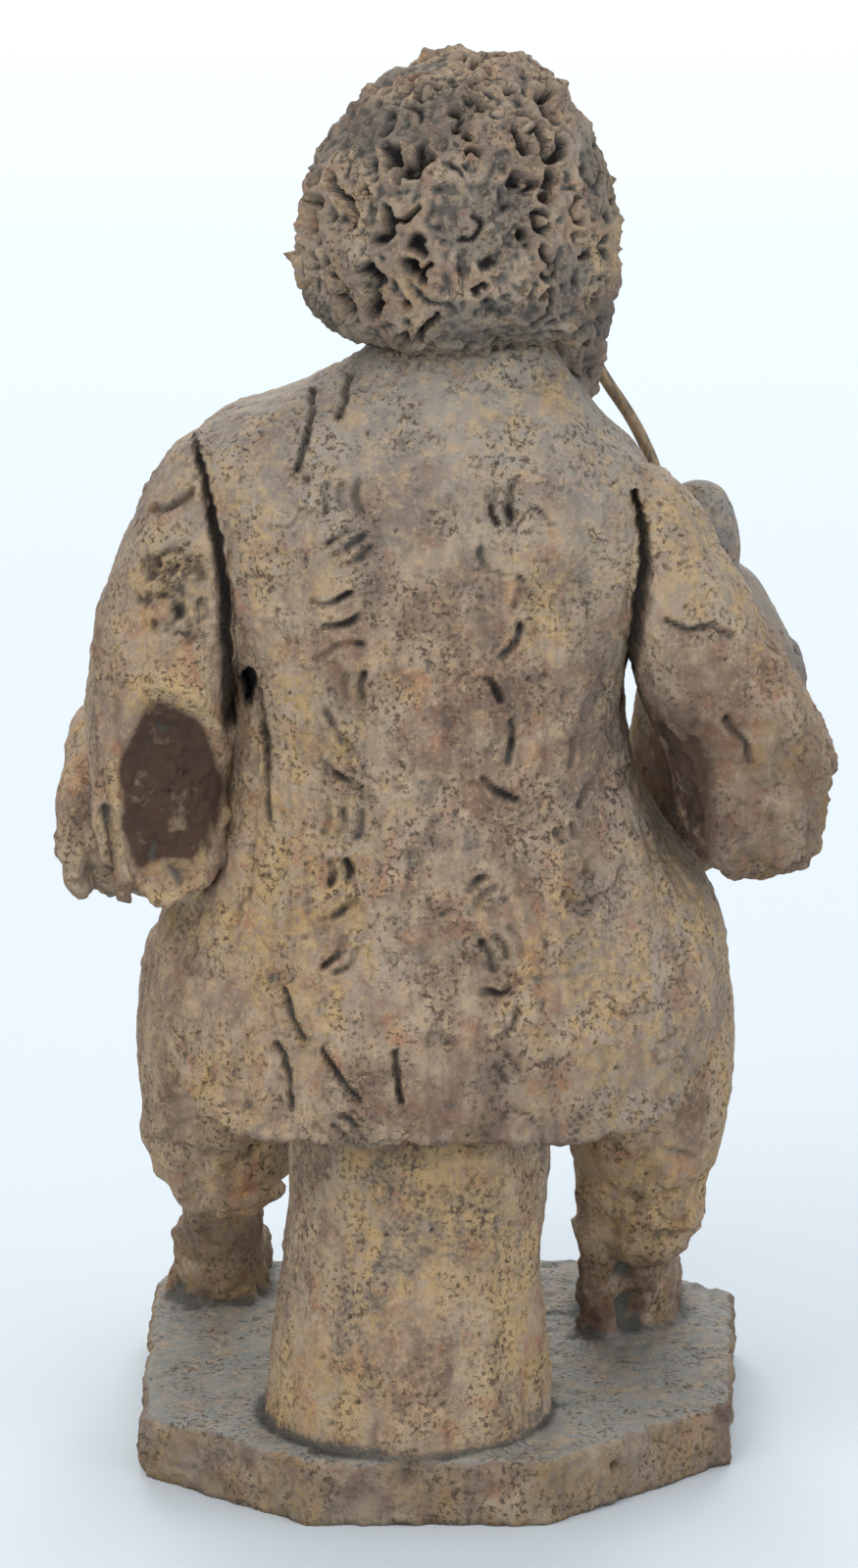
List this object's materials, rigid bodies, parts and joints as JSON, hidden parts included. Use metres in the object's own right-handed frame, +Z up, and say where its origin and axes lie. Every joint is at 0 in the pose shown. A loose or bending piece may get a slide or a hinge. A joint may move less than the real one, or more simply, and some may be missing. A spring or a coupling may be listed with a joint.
{
  "type": "fired clay figurine of a seated piper",
  "caption": "Hand-modelled clay figurine of a bearded piper in a long coat, seated on a round stump on a cut slab, with a bag under one arm and a thin pipe to the mouth",
  "frame": {"origin": "middle of the slab's flat underside", "axes": "+Z up, the longest extent; the piper faces -Y, so the back of the coat faces +Y; the piper's left hand is on +X"},
  "size_m": [0.1074, 0.0931, 0.2016],
  "materials": {
    "fired_clay": "unglazed fired clay, rough and dry, with ochre and grey patina in the hollows",
    "pipe_cane": "smooth dark cane with a dull surface"
  },
  "bodies": {
    "root": {"seated_piper": "fired_clay", "blowpipe": "pipe_cane"}
  },
  "joints": []
}
